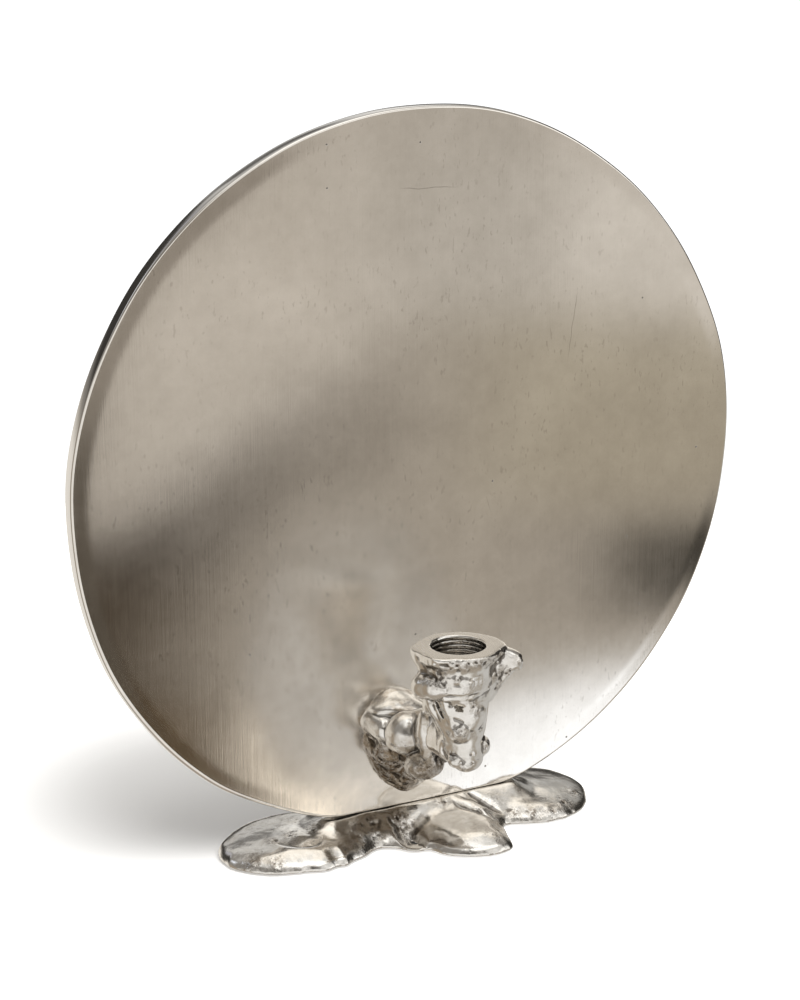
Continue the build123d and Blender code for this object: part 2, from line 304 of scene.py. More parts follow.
def build_plate():
    count = 800
    p, n = plate_outline(count)
    # the rim was dressed by hand, so it wanders by up to a millimetre
    th = np.degrees(np.arctan2(p[:, 1] - CENTRE_Z, p[:, 0])) % 360

    def bump(at, width):
        d = (th - at + 180) % 360 - 180
        return np.exp(-(d / width) ** 2)

    wob = 0.25 + 1.05 * bump(14, 12) + 0.75 * bump(76, 12) + 0.65 * bump(171, 12) + 0.9 * bump(207, 14) + 1.5 * bump(230, 15)
    wob = wob + 0.07 * np.sin(np.radians(11 * th)) + 0.05 * np.sin(np.radians(23 * th + 40))
    p = p + n * (wob * smooth(SEAT_Z + 2, SEAT_Z + 30, p[:, 1]))[:, None]
    hole = np.array([SCREW_X, SCREW_Z])

    def swell(x, z, seed):
        return (0.14 * noise(x, 0 * x, z, 95.0, seed) + 0.03 * noise(x, 0 * x, z, 42.0, seed + 1))

    def roll(s):
        return 0.10 * (1 - smooth(0.0, 8.0, np.asarray(float(s))))

    # the front edge is rounder low on the left
    er = 1.05 + 0.85 * bump(224, 24)
    rows = []

    def row(pts, y):
        rows.append(np.stack([pts[:, 0], np.broadcast_to(y, (count,)), pts[:, 1]], 1))

    inner = p - n * 18.0
    ray = inner - hole
    ray /= np.linalg.norm(ray, axis=1)[:, None]
    steps = np.linspace(0, 1, 36) ** 1.15
    far = lambda c: np.linalg.norm(c - hole, axis=1)
    # front: from the screw hole, hidden behind the arm, out to the rim
    for t in steps:
        c = (hole + ray * 3.3) * (1 - t) + inner * t
        row(c, FACE_Y + swell(c[:, 0], c[:, 1], 11) * smooth(20, 60, far(c)))
    for s in (16.0, 14.0, 12.0, 10.0, 8.5, 7.0, 5.5, 4.2, 3.0, 2.2, 1.6, 1.15):
        c = p - n * (s + (er - 1.05) * (1 - smooth(0.0, 10.0, s)))[:, None]
        row(c, FACE_Y + roll(s) + swell(c[:, 0], c[:, 1], 11) * smooth(20, 60, far(c)))
    y0 = FACE_Y + roll(0.9) + swell(p[:, 0], p[:, 1], 11) * smooth(20, 60, far(p))
    y1 = FACE_Y + PLATE_T
    for a in np.linspace(0, math.pi / 2, 9):
        row(p - n * (er * (1 - math.sin(a)) + 0.05)[:, None], y0 + er * (1 - math.cos(a)))
    # polished edge, very slightly crowned and ringed by the polishing wheel
    for t in np.linspace(0.08, 0.92, 13):
        off = 0.05 - 0.20 * 4 * t * (1 - t) * 0.5 + 0.018 * math.sin(40 * t)
        row(p - n * off, (y0 + er) * (1 - t) + (y1 - 1.05) * t)
    # back: from the rim in to the countersink of the arm screw
    for a in np.linspace(math.pi / 2, 0, 7):
        row(p - n * (1.05 * (1 - math.sin(a)) + 0.05), y1 - 1.05 * (1 - math.cos(a)))
    for s in (1.3, 2.0, 3.2, 5.4, 8.5, 13.0):
        row(p - n * s, y1)
    for t in steps[::-1]:
        c = (hole + ray * 6.15) * (1 - t) + inner * t
        lift = swell(c[:, 0], c[:, 1], 23) * smooth(12, 50, far(c)) * (1 - smooth(0.85, 1.0, t))
        row(c, y1 - np.abs(lift))
    for r, d in ((6.0, 0.12), (5.9, 0.35), (4.6, 1.65), (3.3, 2.95)):
        row(hole + ray * r, y1 - d)
    v = np.concatenate(rows)
    m = len(rows)
    i = np.arange(count)
    faces = []
    for k in range(m):
        a, b = k * count, ((k + 1) % m) * count
        faces.append(np.stack([a + i, a + (i + 1) % count, b + (i + 1) % count, b + i], 1))
    f = np.concatenate(faces)
    va, vb, vc, vd = (v[f[:, k]] for k in range(4))
    vol = np.einsum("ij,ij->i", va, np.cross(vb, vc)).sum() + np.einsum("ij,ij->i", va, np.cross(vc, vd)).sum()
    if vol < 0:
        f = f[:, ::-1]
    ob = make_object("plate_skin", v, f)
    uv = ob.data.uv_layers.new(name="flat")
    loops = np.empty(len(ob.data.loops), np.int64)
    ob.data.loops.foreach_get("vertex_index", loops)
    co = np.stack([v[loops, 0] / 320 + 0.5, v[loops, 2] / 320], 1)
    uv.data.foreach_set("uv", co.ravel())
    return ob


# ------------------------------------------------------------ the cast foot
FOOT_GRAIN = [
    (-28.5, 10.0, 8.0, 3.8), (-27.5, 4.0, 10.5, 3.4), (-35.0, 10.0, 7.5, 3.4), (-33.0, 4.0, 10.0, 3.2),
    (-14.0, 6.0, 10.0, 4.8), (-13.5, 11.5, 8.0, 4.8), (-13.5, 16.5, 6.0, 3.8),
    (-83.0, 6.5, 4.0, 4.4), (-76.0, 12.5, 4.0, 3.6), (-72.0, 0.0, 7.5, 3.2), (-63.0, -1.5, 9.0, 3.2), (-52.0, -1.0, 10.0, 3.6),
    (38.0, 16.0, 6.0, 3.4), (46.0, 19.0, 5.0, 3.8), (55.0, 19.5, 5.0, 4.2), (64.0, 17.0, 5.0, 4.4), (73.0, 10.0, 5.0, 4.4),
    (22.0, 11.0, 8.5, 3.0), (30.0, 18.5, 6.5, 3.0), (19.0, 34.0, 5.0, 3.4), (8.0, 2.5, 11.0, 3.6), (-45.0, 15.0, 5.0, 2.6),
]


def build_foot():
    b = Block((-96, FACE_Y - 46, -0.5), (88, FACE_Y + 47, 15), 0.6)
    plan = closed_spline(FOOT_OUTLINE, 720)
    gx, gy = b.x[:, :, 0], b.y[:, :, 0] - FACE_Y
    d = inside_distance(gx, gy, plan)
    d = d + 0.35 * noise(gx, gy, 0 * gx, 9.0, 3) + 0.22 * noise(gx, gy, 0 * gx, 4.0, 4)

    def dome(cx, cy, ax, ay, h, turn, power=0.55):
        s, k = math.sin(math.radians(turn)), math.cos(math.radians(turn))
        u, v = gx - cx, gy - cy
        u, v = k * u + s * v, k * v - s * u
        q = (u / ax) ** 2 + (v / ay) ** 2
        return h * np.clip(1 - q, 0, 1) ** power - 6 * np.clip(q - 1, 0, 3)

    def seg(ax, ay, bx, by):
        dx, dy = bx - ax, by - ay
        t = np.clip(((gx - ax) * dx + (gy - ay) * dy) / (dx * dx + dy * dy), 0, 1)
        return np.hypot(gx - ax - t * dx, gy - ay - t * dy), t

    h = dome(-52, 6, 48, 34, 8.4, -4)
    h = smax(h, dome(47, 5, 43, 33, 7.8, 6, 0.62), 1.6)
    h = smax(h, dome(10, -14, 22.5, 33, 8.8, 15, 0.62), 0.9)
    h = smax(h, dome(0, 19, 32, 31, 8.8, 0), 2.5)
    r, _ = seg(-43, 3.75, 43, 3.75)
    r = np.clip(r - 4.0, 0, 40)
    h = smax(h, 11.9 - 0.36 * r - 0.028 * r ** 2, 3.0)
    # small tongue between the middle and right lobes, with a groove on each side
    for off in (-4.6, 4.6):
        r, t = seg(17.0 + 0.76 * off, -1.0 + 0.65 * off, 29.5 + 0.76 * off, -17.0 + 0.65 * off)
        h = h - 1.2 * np.exp(-(r / 1.9) ** 2) * smooth(0.0, 0.3, t)
    r, t = seg(15.6, -2.0, 29.0, -18.5)
    h = smax(h, (11.2 - 4.2 * t) + 0.4 * noise(gx, gy, 0 * gx, 3.4, 15) - 0.15 * r ** 2, 0.5)
    r, t = seg(28.6, -17.6, 30.6, -19.6)
    h = smax(h, 7.6 - 0.22 * r ** 2, 0.5)
    # valley left of the middle lobe, with a bead in it
    r, t = seg(-19.6, 0.0, -24.5, -15.0)
    h = h - 2.2 * np.exp(-(r / 5.5) ** 2) * smooth(0.0, 0.5, t)
    h = smax(h, (10.2 - 5.4 * t) + 0.25 * noise(gx, gy, 0 * gx, 3.4, 9) - 0.10 * r ** 2, 0.9)
    # shallow oval dent on the left lobe with a crisp lower edge
    u = 0.89 * (gx + 61) - 0.456 * (gy + 2.5)
    v = -0.456 * (gx + 61) - 0.89 * (gy + 2.5)
    q = np.hypot(u / 11.5, v / 8.0)
    h = h - 0.5 * (1 - smooth(0.90, 1.06, q)) * smooth(-0.2, 0.8, v / 8.0)
    # small drips along the front edge
    for cx, cy, rr in ((-47.0, -19.5, 2.6), (-41.5, -18.6, 2.0), (-14.5, -19.6, 3.0), (-8.5, -25.0, 2.4)):
        h = h + 0.8 * np.exp(-((gx - cx) ** 2 + (gy - cy) ** 2) / rr ** 2)
    # slow waves of the pour
    h = h + 0.55 * noise(gx, gy, 0 * gx, 21.0, 5) + 0.20 * noise(gx, gy, 0 * gx, 9.5, 6)
    lip = np.where(d > 0, 0.7 + 2.3 * (1 - np.exp(-np.clip(d, 0, 100) / 0.8)) + 0.40 * d + 0.022 * d ** 2, 0.7 + 9.0 * d)
    h = smin(h, lip, 1.2)
    # a low swelling beside the valley
    h = h + 1.4 * np.exp(-(((gx + 31.0) / 8.0) ** 2 + ((gy + 10.0) / 6.5) ** 2)) * smooth(0.5, 5.0, d)
    h = np.minimum(h, 11.95)
    top = 1.0 + h
    gxx, gyy = np.gradient(top, b.step)
    slope = np.sqrt(1 + gxx ** 2 + gyy ** 2)
    f_dome = (b.z - top[:, :, None]) / slope[:, :, None]
    rho, z0, z1 = 0.6, 1.0, 2.3
    qx = rho - d[:, :, None]
    qz = np.abs(b.z - (z0 + z1) / 2) - (z1 - z0) / 2 + rho
    f_base = np.minimum(np.maximum(qx, qz), 0) + np.hypot(np.maximum(qx, 0), np.maximum(qz, 0)) - rho
    f = smin(f_base, f_dome, 0.6)
    f = np.maximum(f, 1.0 - b.z)
    f = np.maximum(f, -np.maximum(6.0 - d[:, :, None] + 0 * b.z, b.z - 2.0))
    for sx in (-26.0, 26.0):
        r = np.hypot(b.x - sx, b.y - (FACE_Y + PLATE_T / 2))
        f = np.maximum(f, -np.maximum(r - 3.9, b.z - 6.4))
        f = np.maximum(f, -(r - 2.25))
    f = b.wrinkle(f, [(3.0, 0.05, 7), (1.6, 0.02, 8)], 1.5)
    f = b.grain(f, FOOT_GRAIN, 0.32, 1.9, 17)
    v, q = b.mesh(f)
    v = relax(v, q, 1)
    v[:, 2] = np.clip(v[:, 2], 1.0, SEAT_Z)
    ob = make_object("foot_skin", v, q)
    mark_grain(ob, v, FOOT_GRAIN)
    mark_hollow(ob, v, q, b.step)
    return ob


# -------------------------------------------------------- the cup and the arm
CUP_GRAIN = [
    (-24.6, 59.0, 94.6, 4.0), (-28.0, 55.5, 95.0, 2.6), (-17.6, 64.0, 95.6, 2.0), (-22.0, 60.5, 91.5, 2.4),
    (1.5, 62.5, 102.0, 3.6), (2.0, 60.5, 93.2, 3.4), (7.0, 61.5, 94.0, 2.6), (11.5, 63.0, 98.0, 2.6),
    (-15.6, 62.4, 70.0, 3.4), (-6.4, 60.5, 71.5, 2.0), (-0.4, 58.5, 63.4, 2.2), (-17.0, 57.0, 58.0, 2.6),
    (-23.0, 54.5, 82.6, 2.6), (-9.0, 63.5, 80.0, 2.6), (-11.0, 58.5, 53.6, 2.4), (3.0, 60.0, 87.0, 2.2),
] + [(-22.0 + 3.2 * i, 62.0 + 7.4 * math.sin(0.25 + 0.36 * i), 102.2, 2.3) for i in range(8)]

ARM_GRAIN = [
    (-28.0, 5.0, 47.0, 5.5), (-25.5, 9.0, 42.0, 6.0), (-21.5, 11.0, 37.0, 6.0), (-16.0, 12.0, 31.5, 6.0),
    (-9.0, 11.0, 28.0, 5.5), (-21.0, 16.0, 44.5, 4.0), (-15.5, 33.0, 41.5, 6.5), (-20.0, 30.0, 44.0, 5.0),
    (-11.0, 35.5, 46.5, 5.2), (-18.5, 36.0, 45.5, 6.0), (-30.0, 4.0, 53.0, 3.0), (-13.0, 14.0, 68.0, 3.0), (-12.5, 39.5, 56.0, 3.0),
]


def cup_field(b):
    z = b.z
    zz = np.array([50.0, 52.0, 55.0, 59.0, 63.0, 68.0, 73.0, 78.0, 81.5, 85.0, 87.0, 89.0, 92.0, 96.0, 99.0, 102.0, 106.0])
    rr = np.array([2.0, 5.2, 7.6, 8.6, 8.9, 9.9, 11.0, 12.0, 12.6, 13.0, 13.3, 14.2, 14.5, 14.8, 15.6, 16.4, 16.4])
    sh = np.array([4.0, 3.8, 3.2, 2.5, 1.9, 1.4, 0.9, 0.5, 0.3, 0.2, 0.1, 0.0, 0.0, 0.0, 0.0, 0.0, 0.0])
    r = np.interp(z, zz, rr).astype(np.float32)
    s = np.interp(z, zz, sh).astype(np.float32)
    f = (np.hypot(b.x - (CUP_X + 0.89 * s), b.y - (FACE_Y - CUP_OUT - 0.456 * s)) - r) * 0.9
    f = smax(f, 50.6 - z, 4.0)
    # flat top, broader than the body, with a ragged edge
    gx, gy = b.x[:, :, 0], b.y[:, :, 0]
    poly = closed_spline([(x, FACE_Y - o) for x, o in SLAB], 240)
    d = inside_distance(gx, gy, poly)[:, :, None] + 0 * z
    d = d + 0.35 * noise(b.x, b.y, b.z, 4.5, 31) + 0.75 * noise(b.x, b.y, b.z, 2.0, 37) * smooth(104.7, 102.8, z)
    low = 100.4 + 1.1 * noise(b.x, b.y, 0 * z, 6.0, 32)
    slab = smax(-(d - 0.32 * (CUP_TOP - z)), low - z, 2.2)
    f = smin(f, slab, 3.4)
    # left shoulder, and the hollow facet under the left tip
    f = smin(f, b.ball((-23.6, 54.4, 90.4), (8.4, 5.4, 5.2), -62.0), 1.0)
    f = smin(f, b.ball((-26.2, 50.8, 89.4), (5.0, 5.0, 5.2)), 1.4)
    f = smin(f, b.rope((-27.0, 47.5, 102.5), (-22.5, 49.5, 94.5), 2.6, 4.2), 2.2)
    f = smin(f, b.rope((-18.0, 63.6, 94.6), (-12.6, 65.2, 93.0), 1.1, 0.7), 1.8)
    # drooping corner on the right, thick, and running down into the body
    f = smin(f, b.rope((4.0, 57.5, 100.2), (10.6, 61.0, 98.0), 4.8, 3.6), 1.2)
    f = smin(f, b.ball((12.0, 61.8, 96.2), (2.3, 2.2, 3.0)), 0.9)
    f = smin(f, b.rope((8.4, 60.4, 95.4), (0.4, 57.4, 83.5), 3.0, 2.6), 1.6)
    f = smin(f, b.rope((3.0, 58.5, 96.5), (-2.0, 58.0, 86.0), 4.4, 3.4), 2.2)
    # low bosses and hollows on the front
    f = smin(f, b.ball((-14.6, 60.2, 70.0), (3.9, 2.9, 3.2), 0, 34.0), 2.2)
    f = smax(f, -b.rope((-19.6, 61.6, 82.6), (-15.6, 63.6, 82.0), 1.3, 0.9), 1.6)
    f = smax(f, -b.rope((-18.0, 61.4, 76.6), (-14.6, 62.4, 75.4), 0.7, 0.4), 0.9)
    f = smin(f, b.ball((-8.2, 62.4, 77.0), (4.2, 2.0, 4.4)), 2.0)
    f = smin(f, b.rope((-21.5, 60.5, 86.4), (-11.0, 64.4, 86.8), 1.0, 0.9), 1.0)
    f = smin(f, b.rope((-11.0, 64.4, 86.8), (-3.0, 63.0, 88.6), 0.9, 0.8), 1.2)
    f = smin(f, b.ball((-1.8, 55.8, 60.6), (3.8, 4.0, 4.6)), 0.8)
    f = smax(f, -b.ball((-0.8, 59.2, 65.2), (2.0, 2.2, 1.2)), 0.5)
    f = smin(f, b.ball((-8.4, 55.0, 54.4), (6.4, 6.0, 3.8)), 1.2)
    f = smin(f, b.ball((-14.0, 56.4, 56.6), (3.8, 3.4, 3.4)), 0.8)
    # straps down the left side, with a deep gap between them
    f = smin(f, b.ropes([(-24.0, 51.0, 84.5), (-23.2, 51.4, 81.0), (-20.6, 52.8, 76.0), (-17.4, 54.8, 69.0)], 1.7), 0.9)
    f = smin(f, b.ropes([(-20.4, 58.4, 85.0), (-18.6, 59.0, 79.0), (-16.6, 58.6, 73.6)], 1.5), 0.9)
    f = smin(f, b.ball((-20.8, 47.2, 79.6), (3.4, 3.8, 5.0)), 1.0)
    f = smax(f, -b.rope((-22.6, 55.4, 83.0), (-19.6, 56.4, 77.0), 1.3, 0.8), 0.6)
    boss = smax(np.hypot(b.x - SCREW_X, b.z - 61.0) - 8.0, np.abs(b.y - (FACE_Y - 45.0)) - 6.6, 1.2)
    f = smin(f, boss, 2.0)
    f = b.wrinkle(f, [(8.0, 0.40, 33), (4.8, 0.24, 39), (3.0, 0.11, 34), (1.8, 0.04, 35)], 2.0)
    return b.grain(f, CUP_GRAIN, 0.42, 1.5, 38)


def build_cup():
    b = Block((-35, FACE_Y - 73, 48), (18, FACE_Y - 34, 108), 0.38)
    f = cup_field(b)
    f = smax(f, b.z - CUP_TOP, 1.5 + 1.8 * smooth(-1.0, 8.0, b.x))
    rad = np.hypot(b.x - CUP_X, b.y - (FACE_Y - CUP_OUT))
    ang = np.arctan2(b.y - (FACE_Y - CUP_OUT), b.x - CUP_X)
    ring = 0.16 + 0.15 * np.sin(2 * math.pi * (b.z + 0.35 * ang / math.pi) / 1.9)
    bore = np.maximum(rad - (BORE_R + ring + 0.10 * noise(b.x, b.y, b.z, 2.2, 36)),
                      CUP_TOP - BORE_DEPTH - 0.12 * (BORE_R - rad) - b.z)
    f = smax(f, -bore, 0.35)
    f = np.maximum(f, -(np.maximum(np.hypot(b.x - SCREW_X, b.z - 61.0) - 3.05, (FACE_Y - 49.0) - b.y)))
    v, q = b.mesh(f)
    v = relax(v, q, 1)
    v[:, 2] = np.minimum(v[:, 2], CUP_TOP)
    ob = make_object("cup_skin", v, q)
    mark_grain(ob, v, CUP_GRAIN)
    mark_hollow(ob, v, q, b.step)
    return ob


def drag(x, y, z):
    """Where the arm's skin is rough and dragged: low on the left, close to the plate."""
    return smooth(54.0, 47.0, z + 0.25 * (x + 28.0)) * smooth(-2.0, -12.0, x) * smooth(24.0, 17.0, FACE_Y - y)


def build_arm():
    b = Block((-36, FACE_Y - 44, 18), (13, FACE_Y + 1.0, 77), 0.40)
    # rosette against the plate: a broad dome under two smooth rolls
    f = b.ball((-11.0, 0, 45.0), (16.5, 13.0, 25.0), 0, -16.0)
    f = smin(f, b.ball((-17.5, 5.0, 60.8), (11.6, 9.4, 6.5), 0, -8.0), 2.4)
    f = smin(f, b.ball((-11.0, 9.0, 56.6), (9.5, 9.0, 9.0)), 2.4)
    f = smin(f, b.rope((-27.2, 3.0, 56.0), (-22.8, 9.4, 55.2), 4.3, 5.8), 2.2)
    f = smax(f, -b.ropes([(-31.5, 1.5, 63.0), (-27.0, 9.4, 61.8), (-19.0, 15.4, 61.2)], 0.2), 3.4)
    f = smin(f, b.ball((-4.0, 10.0, 47.0), (9.0, 10.0, 13.0)), 2.5)
    f = smin(f, b.ball((-21.0, 8.0, 45.5), (6.0, 6.0, 8.5), -30.0, 10.0), 2.5)
    # knuckles and the neck that reaches the cup
    f = smin(f, b.ball((-18.0, 21.5, 56.3), (10.2, 9.6, 9.6), 0, 10), 1.2)
    f = smin(f, b.ball((-15.0, 30.0, 45.2), (8.6, 7.6, 6.6)), 1.2)
    f = smin(f, b.ball((-10.5, 27.0, 58.5), (9.0, 13.0, 9.5)), 1.6)
    f = smin(f, b.ball((-15.4, 33.0, 60.0), (4.4, 4.4, 11.0), 0, -8), 2.8)
    f = smin(f, b.ball((-10.4, 36.0, 62.0), (4.4, 4.4, 11.0), 0, -6), 2.6)
    f = smin(f, b.ball((-5.0, 24.0, 51.0), (7.5, 10.0, 9.0)), 2.0)
    f = smax(f, -b.ball((-13.0, 38.4, 51.6), (2.6, 3.0, 2.0)), 0.8)
    f = b.wrinkle(f, [(10.0, 0.50, 41), (5.6, 0.36, 48), (3.4, 0.12, 42), (1.8, 0.03, 43)], 2.0)
    # rough, dragged skin low on the left: streaks along the slope
    low = drag(b.x, b.y, b.z)
    m = np.abs(f) < 1.8
    x, y, z = b.x[m], b.y[m], b.z[m]
    u = 0.59 * x - 0.54 * y - 0.59 * z
    a = 0.74 * x + 0.67 * z
    c = 0.40 * x + 0.84 * y - 0.37 * z
    f[m] += low[m] * (1.05 * noise(u * 0.30, a, c, 3.0, 44) + 0.45 * noise(u * 0.45, a, c, 1.7, 46))
    f = b.grain(f, ARM_GRAIN, 0.34, 1.5, 47)
    f = np.maximum(f, b.y - FACE_Y)
    c = cup_field(b)
    f = smax(f, -(c - 0.12), 0.4)
    f = np.maximum(f, -(np.maximum(np.hypot(b.x - SCREW_X, b.z - SCREW_Z) - 3.05, (FACE_Y - 16.0) - b.y)))
    f = np.maximum(f, -(np.maximum(np.hypot(b.x - SCREW_X, b.z - 58.0) - 1.6, (FACE_Y - 6.5) - b.y)))
    f = np.maximum(f, -(np.maximum(np.hypot(b.x - SCREW_X, b.z - 61.0) - 3.05, b.y - (FACE_Y - 27.0))))
    v, q = b.mesh(f)
    v = relax(v, q, 1)
    v[:, 1] = np.minimum(v[:, 1], FACE_Y)
    ob = make_object("arm_skin", v, q)
    mark_grain(ob, v, ARM_GRAIN, 1.0 * drag(v[:, 0], v[:, 1], v[:, 2]))
    mark_hollow(ob, v, q, b.step)
    return ob


# --------------------------------------------------------------- materials
class Nodes:
    def __init__(self, name):
        self.mat = bpy.data.materials.new(name)
        self.mat.use_nodes = True
        self.t = self.mat.node_tree
        self.t.nodes.clear()
        self.out = self.t.nodes.new("ShaderNodeOutputMaterial")
        self.bsdf = self.t.nodes.new("ShaderNodeBsdfPrincipled")
        self.link(self.bsdf.outputs[0], self.out.inputs[0])
        self.co = self.t.nodes.new("ShaderNodeTexCoord").outputs["Object"]

    def link(self, a, b):
        self.t.links.new(a, b)

    def new(self, kind, **props):
        n = self.t.nodes.new(kind)
        for k, v in props.items():
            setattr(n, k, v)
        return n

    def put(self, socket, value):
        if hasattr(value, "is_linked"):
            self.link(value, socket)
        else:
            socket.default_value = value

    def math(self, op, a, b=0.0, c=None, clamp=False):
        n = self.new("ShaderNodeMath", operation=op, use_clamp=clamp)
        self.put(n.inputs[0], a)
        self.put(n.inputs[1], b)
        if c is not None:
            self.put(n.inputs[2], c)
        return n.outputs[0]

    def scaled(self, scale, rot=(0, 0, 0), loc=(0, 0, 0), vec=None):
        n = self.new("ShaderNodeMapping")
        self.link(vec or self.co, n.inputs["Vector"])
        n.inputs["Scale"].default_value = scale
        n.inputs["Rotation"].default_value = rot
        n.inputs["Location"].default_value = loc
        return n.outputs[0]

    def noise(self, vec, scale, detail=2.0, rough=0.5, distort=0.0):
        n = self.new("ShaderNodeTexNoise")
        self.link(vec, n.inputs["Vector"])
        n.inputs["Scale"].default_value = scale
        n.inputs["Detail"].default_value = detail
        n.inputs["Roughness"].default_value = rough
        n.inputs["Distortion"].default_value = distort
        return n.outputs["Fac"]

    def ramp(self, fac, stops):
        n = self.new("ShaderNodeValToRGB")
        self.link(fac, n.inputs[0])
        e = n.color_ramp.elements
        while len(e) < len(stops):
            e.new(0.5)
        for el, (pos, col) in zip(e, stops):
            el.position = pos
            el.color = (*col, 1.0) if len(col) == 3 else col
        return n.outputs[0]

    def span(self, value, a, b, c, d):
        n = self.new("ShaderNodeMapRange", interpolation_type="SMOOTHSTEP", clamp=True)
        self.put(n.inputs[0], value)
        for i, v in enumerate((a, b, c, d)):
            self.put(n.inputs[i + 1], v)
        return n.outputs[0]

    def mix(self, fac, a, b):
        n = self.new("ShaderNodeMix", data_type="RGBA")
        self.put(n.inputs[0], fac)
        for sock, v in ((n.inputs[6], a), (n.inputs[7], b)):
            if hasattr(v, "is_linked"):
                self.link(v, sock)
            else:
                sock.default_value = (*v, 1.0)
        return n.outputs[2]

    def bump(self, height, strength, distance, normal=None):
        n = self.new("ShaderNodeBump")
        self.link(height, n.inputs["Height"])
        n.inputs["Strength"].default_value = strength
        n.inputs["Distance"].default_value = distance
        if normal is not None:
            self.link(normal, n.inputs["Normal"])
        return n.outputs[0]


def satin_nickel():
    m = Nodes("satin_nickel")
    m.bsdf.inputs["Metallic"].default_value = 1.0
    tilt = (0, math.radians(4), 0)
    fine = m.noise(m.scaled((2600, 200, 26), tilt), 1.0, 3.0, 0.6)
    coarse = m.noise(m.scaled((620, 60, 9), tilt), 1.0, 2.0, 0.5)
    cloud = m.noise(m.scaled((14, 14, 14)), 1.0, 4.0, 0.55, 0.6)
    blot = m.noise(m.scaled((46, 46, 46)), 1.0, 3.0, 0.6)
    streak = m.math("MULTIPLY_ADD", fine, 0.6, m.math("MULTIPLY", coarse, 0.4))
    sep = m.new("ShaderNodeSeparateXYZ")
    geo = m.new("ShaderNodeNewGeometry")
    m.link(geo.outputs["Normal"], sep.inputs[0])
    rim = m.span(m.math("ABSOLUTE", sep.outputs["Y"]), 0.55, 0.93, 1.0, 0.0)
    # sparse tiny pits and a few hairline scratches, in the plane of the face
    pos = m.new("ShaderNodeSeparateXYZ")
    m.link(m.co, pos.inputs[0])
    flat = m.new("ShaderNodeCombineXYZ")
    m.link(pos.outputs["X"], flat.inputs["X"])
    m.link(pos.outputs["Z"], flat.inputs["Y"])
    vor = m.new("ShaderNodeTexVoronoi", feature="F1", voronoi_dimensions="2D")
    m.link(m.scaled((27, 27, 27), vec=flat.outputs[0]), vor.inputs["Vector"])
    vor.inputs["Scale"].default_value = 1.0
    keep = m.new("ShaderNodeSeparateColor")
    m.link(vor.outputs["Color"], keep.inputs[0])
    dot = m.math("MULTIPLY", m.span(vor.outputs["Distance"], 0.006, 0.013, 1.0, 0.0),
                 m.math("GREATER_THAN", keep.outputs[0], 0.72))
    jitter = m.noise(m.scaled((60, 60, 60)), 1.0, 2.0, 0.5)
    front = m.span(pos.outputs["Y"], 0.0145, 0.0185, 1.0, 0.0)

    def scratch(x0, z0, x1, z1, width):
        length = math.hypot(x1 - x0, z1 - z0)
        ux, uz = (x1 - x0) / length, (z1 - z0) / length
        dx = m.math("SUBTRACT", pos.outputs["X"], x0)
        dz = m.math("SUBTRACT", pos.outputs["Z"], z0)
        along = m.math("MULTIPLY_ADD", dx, ux, m.math("MULTIPLY", dz, uz))
        side = m.math("MULTIPLY_ADD", dx, -uz, m.math("MULTIPLY", dz, ux))
        side = m.math("ADD", side, m.math("MULTIPLY_ADD", jitter, 0.003, -0.0015))
        side = m.span(m.math("ABSOLUTE", side), width * 0.4, width, 1.0, 0.0)
        ends = m.math("MULTIPLY", m.span(along, 0.0, 0.006, 0.0, 1.0), m.span(along, length - 0.010, length, 1.0, 0.0))
        return m.math("MULTIPLY", side, ends)

    line = scratch(-0.0120, 0.2845, 0.0180, 0.2835, 0.00022)
    line = m.math("MAXIMUM", line, scratch(0.0740, 0.2360, 0.0700, 0.2030, 0.00020))
    line = m.math("MAXIMUM", line, scratch(-0.0700, 0.1280, -0.0660, 0.1180, 0.00018))
    line = m.math("MAXIMUM", line, scratch(0.0300, 0.1500, 0.0340, 0.1400, 0.00018))
    line = m.math("MULTIPLY", line, front)
    fleck = m.noise(m.scaled((150, 150, 150)), 1.0, 3.0, 0.6)
    tone = m.math("MULTIPLY_ADD", fleck, 0.22, m.math("MULTIPLY_ADD", cloud, 0.48, m.math("MULTIPLY", blot, 0.30)))
    col = m.ramp(tone, [(0.34, (0.735, 0.692, 0.631)), (0.66, (0.94, 0.895, 0.832))])
    col = m.mix(m.math("MULTIPLY", m.span(streak, 0.35, 0.7, 0.0, 1.0), 0.08), col, (0.98, 0.95, 0.90))
    # short upright specks left by the brushing, gathered in places
    speck = m.span(m.noise(m.scaled((640, 640, 270)), 1.0, 2.0, 0.5), 0.625, 0.715, 0.0, 1.0)
    speck = m.math("MULTIPLY", speck, m.span(cloud, 0.40, 0.60, 0.25, 1.0))
    col = m.mix(m.math("MULTIPLY", speck, 0.24), col, (0.30, 0.265, 0.225))
    col = m.mix(m.math("MULTIPLY", dot, 0.85), col, (0.07, 0.06, 0.05))
    col = m.mix(m.math("MULTIPLY", line, 0.45), col, (0.20, 0.18, 0.16))
    col = m.mix(rim, col, (0.72, 0.695, 0.66))
    m.link(col, m.bsdf.inputs["Base Color"])
    rough = m.math("ADD", m.math("MULTIPLY_ADD", streak, 0.03, 0.05), m.math("MULTIPLY", tone, 0.04))
